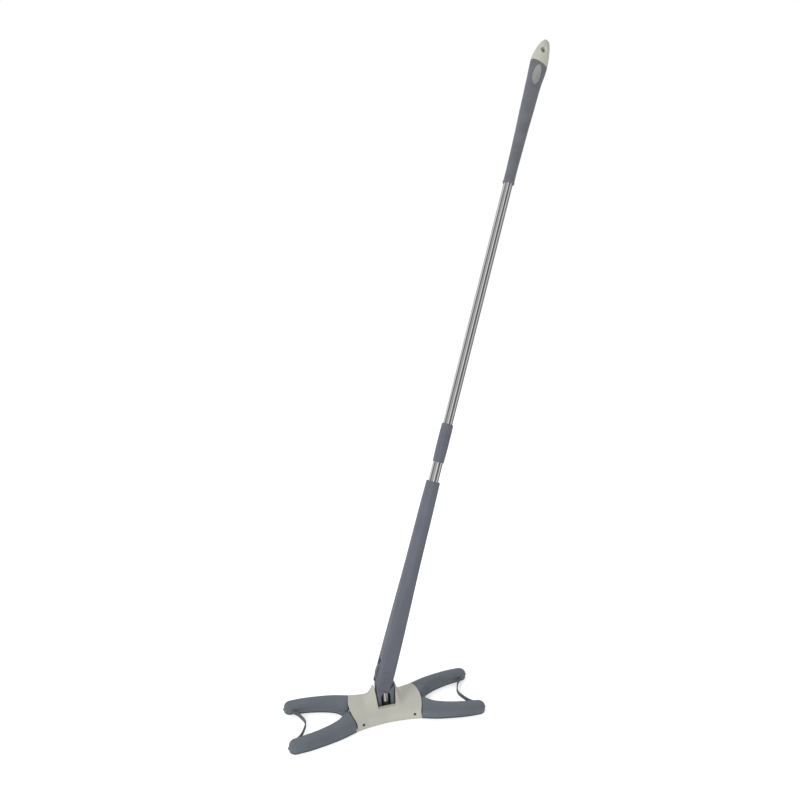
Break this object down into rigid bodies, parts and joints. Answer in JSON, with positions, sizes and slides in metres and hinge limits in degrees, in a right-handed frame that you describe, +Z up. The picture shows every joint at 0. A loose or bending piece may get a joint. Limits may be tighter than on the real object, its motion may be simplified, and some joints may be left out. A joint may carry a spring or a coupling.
{
  "type": "flat floor mop",
  "caption": "Flat floor mop with an X-shaped four-armed head, two-axis swivel, sliding sleeve with lever, telescopic chrome pole and a soft grip with hanging hole.",
  "frame": {"origin": "middle of the flat underside of the head, on the floor", "axes": "+X along the length of the head to the right, +Y to the back, +Z up; the pole leans back and to the right at rest"},
  "size_m": [0.6065, 0.2912, 1.3116],
  "materials": {
    "grey_soft": "satin",
    "light_inlay": "satin",
    "grey_plastic": "satin",
    "cream_plastic": "satin",
    "chrome_tube": "polished",
    "black_plastic": "satin",
    "steel": "brushed",
    "black_rubber": "matt",
    "dark_plastic": "satin",
    "black_steel": "oxide",
    "strip_plastic": "satin",
    "arm_plastic": "satin",
    "sole_rubber": "matt"
  },
  "bodies": {
    "handle": {"grip": "grey_soft", "grip_inlay": "light_inlay", "grip_ring": "grey_plastic", "end_cap": "cream_plastic", "upper_tube": "chrome_tube", "slide_bush": "black_plastic"},
    "lower_pole": {"lower_tube": "chrome_tube", "tube_fork": "black_plastic", "roll_pin": "steel", "lock_collet": "black_plastic"},
    "collar": {"lock_collar": "grey_plastic"},
    "sleeve": {"sleeve_shell": "grey_plastic", "lever_pin": "steel", "lever_spring": "steel"},
    "lever": {"release_lever": "grey_plastic"},
    "knuckle": {"knuckle": "grey_plastic", "detent_barrel": "chrome_tube", "detent_spring": "steel"},
    "detent": {"detent_foot": "black_rubber"},
    "head": {"head_cover": "cream_plastic", "head_base": "dark_plastic", "cover_screws": "black_steel", "pitch_pins": "steel", "spring_strip_left": "strip_plastic", "spring_strip_right": "strip_plastic"},
    "arm_front_left": {"arm_front_left": "arm_plastic", "sole_front_left": "sole_rubber", "tip_plug_front_left": "black_plastic"},
    "arm_back_left": {"arm_back_left": "arm_plastic", "sole_back_left": "sole_rubber", "tip_plug_back_left": "black_plastic"},
    "arm_front_right": {"arm_front_right": "arm_plastic", "sole_front_right": "sole_rubber", "tip_plug_front_right": "black_plastic"},
    "arm_back_right": {"arm_back_right": "arm_plastic", "sole_back_right": "sole_rubber", "tip_plug_back_right": "black_plastic"}
  },
  "joints": [
    {"name": "telescope", "type": "slide", "parent": "handle", "child": "lower_pole", "axis": [0.3057, 0.1621, 0.9382], "range_m": [0, 0.37]},
    {"name": "collar_twist", "type": "hinge", "parent": "lower_pole", "child": "collar", "pos_m": [0.14368, 0.08128, 0.50853], "axis": [0.3057, 0.1621, 0.9382], "range_deg": [0, 90]},
    {"name": "sleeve_slide", "type": "slide", "parent": "lower_pole", "child": "sleeve", "axis": [0.3057, 0.1621, 0.9382], "range_m": [0, 0.037]},
    {"name": "lever_press", "type": "hinge", "parent": "sleeve", "child": "lever", "pos_m": [-0.00696, 0.0096, 0.09357], "axis": [0, -0.9854, 0.1702], "range_deg": [0, 4], "stiffness_Nm_per_rad": 0.4, "springref_deg": -2.86, "deforming": ["lever_spring"]},
    {"name": "head_roll", "type": "hinge", "parent": "lower_pole", "child": "knuckle", "pos_m": [0, 0.00511, 0.06756], "axis": [0, 0.9854, -0.1702], "range_deg": [-17, 52]},
    {"name": "head_pitch", "type": "hinge", "parent": "knuckle", "child": "head", "pos_m": [0, 0, 0.038], "axis": [1, 0, 0], "range_deg": [-75, 60]},
    {"name": "detent_press", "type": "slide", "parent": "knuckle", "child": "detent", "axis": [0, 0.1702, 0.9854], "range_m": [0, 0.0012], "stiffness_N_per_m": 900, "springref_m": -0.002, "deforming": ["detent_spring"]},
    {"name": "pinch_left", "type": "hinge", "parent": "head", "child": "arm_front_left", "pos_m": [-0.056, -0.02, 0.012], "axis": [0, 0, -1], "range_deg": [0, 6], "stiffness_Nm_per_rad": 2, "springref_deg": -1.15, "deforming": ["spring_strip_left"]},
    {"name": "pinch_back_left", "type": "hinge", "parent": "head", "child": "arm_back_left", "pos_m": [-0.056, 0.02, 0.012], "axis": [0, 0, -1], "range_deg": [-6, 0], "deforming": ["spring_strip_left"]},
    {"name": "pinch_right", "type": "hinge", "parent": "head", "child": "arm_front_right", "pos_m": [0.056, -0.02, 0.012], "axis": [0, 0, 1], "range_deg": [0, 6], "stiffness_Nm_per_rad": 2, "springref_deg": -1.15, "deforming": ["spring_strip_right"]},
    {"name": "pinch_back_right", "type": "hinge", "parent": "head", "child": "arm_back_right", "pos_m": [0.056, 0.02, 0.012], "axis": [0, 0, 1], "range_deg": [-6, 0], "deforming": ["spring_strip_right"]}
  ],
  "couplings": [
    {"joint": "pinch_back_left", "follows": "pinch_left", "ratio": -1},
    {"joint": "pinch_back_right", "follows": "pinch_right", "ratio": -1}
  ]
}
